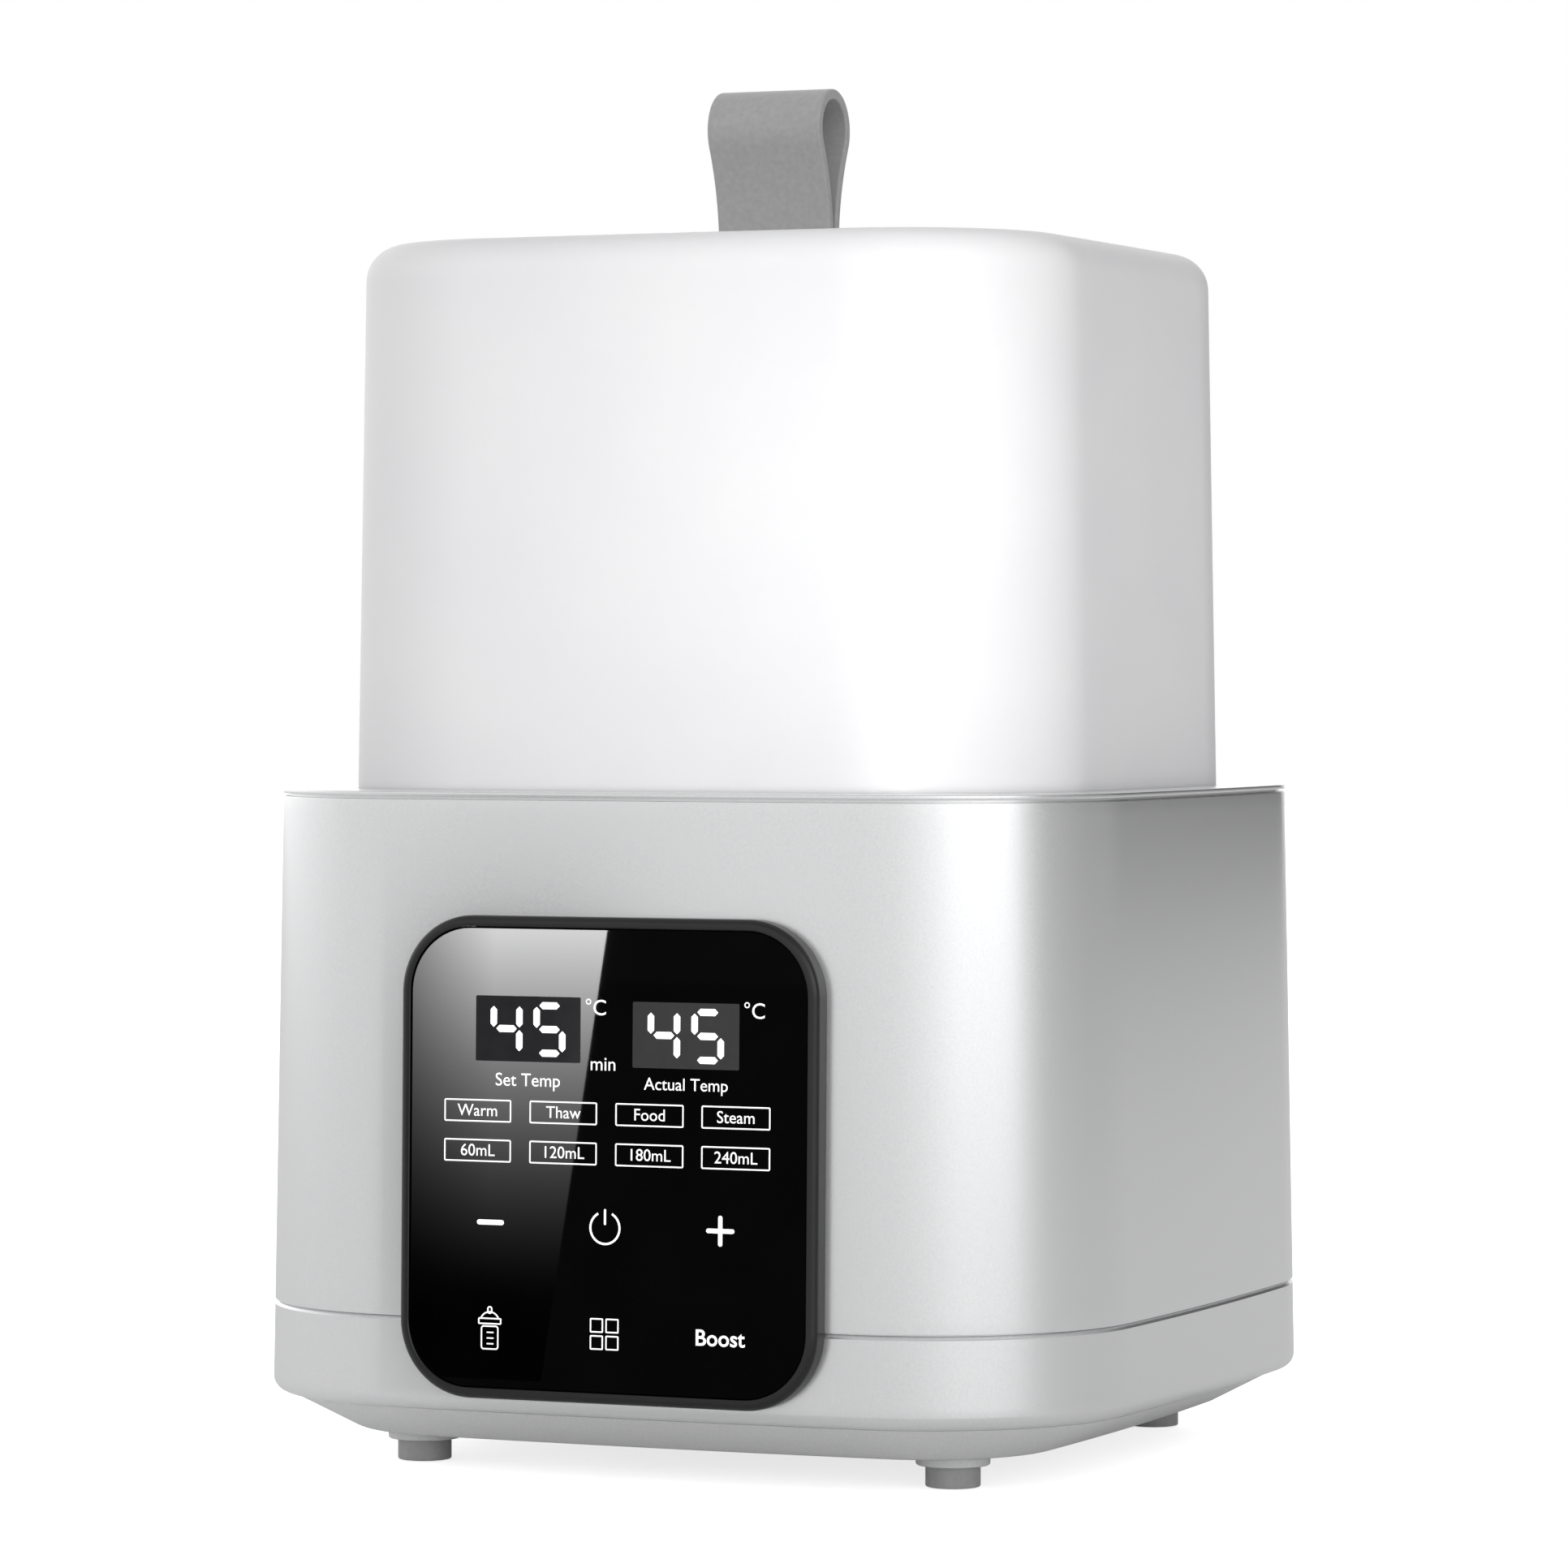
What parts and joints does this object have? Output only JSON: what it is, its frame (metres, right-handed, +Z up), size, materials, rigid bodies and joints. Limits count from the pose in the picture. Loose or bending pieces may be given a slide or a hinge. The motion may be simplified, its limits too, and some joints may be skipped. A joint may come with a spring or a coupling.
{
  "type": "bottle warmer",
  "caption": "Bottle warmer: rounded square casing with a touch panel, water tank and bottle basket under a frosted lift-off lid with a strap.",
  "frame": {"origin": "middle of the footprint, on the surface the feet stand on", "axes": "+Z up, the touch panel faces -Y, +X is to the right when the panel is seen from the front"},
  "size_m": [0.1842, 0.1847, 0.2775],
  "materials": {
    "pearl_paint": "satin pearl paint over moulded ABS",
    "white_abs": "fine matt",
    "frosted_pp": "frosted, translucent",
    "grey_silicone": "matt",
    "black_abs": "satin",
    "panel_glass": "polished, back-painted",
    "basket_pp": "fine matt",
    "tank_pp": "semi-gloss",
    "seal_silicone": "matt",
    "steel_plate": "brushed",
    "cast_aluminium": "as cast",
    "zinc_steel": "zinc plated",
    "circuit_board": "solder mask",
    "component_black": "moulded",
    "component_blue": "moulded",
    "display_epoxy": "smooth"
  },
  "bodies": {
    "casing": {"top_deck": "pearl_paint", "outer_shell": "pearl_paint", "lower_casing": "pearl_paint", "bottom_cover": "white_abs", "cover_screws": "zinc_steel", "water_tank": "tank_pp", "tank_screws": "zinc_steel", "tank_seal": "seal_silicone", "plate_gasket": "seal_silicone", "heating_plate": "steel_plate", "heat_spreader": "cast_aluminium", "heater_element": "zinc_steel", "heater_clamp": "zinc_steel", "heater_screws": "zinc_steel", "thermostat": "component_black", "thermal_fuse": "zinc_steel", "temperature_sensor": "zinc_steel", "panel_bezel": "black_abs", "panel_glass": "panel_glass", "glass_tape": "component_black", "control_board": "circuit_board", "panel_screws": "zinc_steel", "digit_display_left": "display_epoxy", "digit_display_right": "display_epoxy", "light_guide": "component_black", "touch_springs": "zinc_steel", "buzzer": "component_black", "cord_gland": "black_abs", "gland_nut": "black_abs", "power_board": "circuit_board", "board_screws": "zinc_steel", "relay": "component_blue", "transformer": "component_black", "capacitor": "component_black", "terminal_block": "component_blue", "foot_pad_front_left": "grey_silicone", "foot_pad_front_right": "grey_silicone", "foot_pad_rear_left": "grey_silicone", "foot_pad_rear_right": "grey_silicone"},
    "lid": {"lid_dome": "frosted_pp", "lid_strap": "grey_silicone", "strap_retainer": "frosted_pp", "strap_screws": "zinc_steel"},
    "basket": {"bottle_basket": "basket_pp"}
  },
  "joints": [
    {"name": "lid_lift", "type": "slide", "parent": "casing", "child": "lid", "axis": [0, 0, 1], "range_m": [0, 0.2]},
    {"name": "basket_lift", "type": "slide", "parent": "casing", "child": "basket", "axis": [0, 0, 1], "range_m": [0, 0.1]}
  ]
}
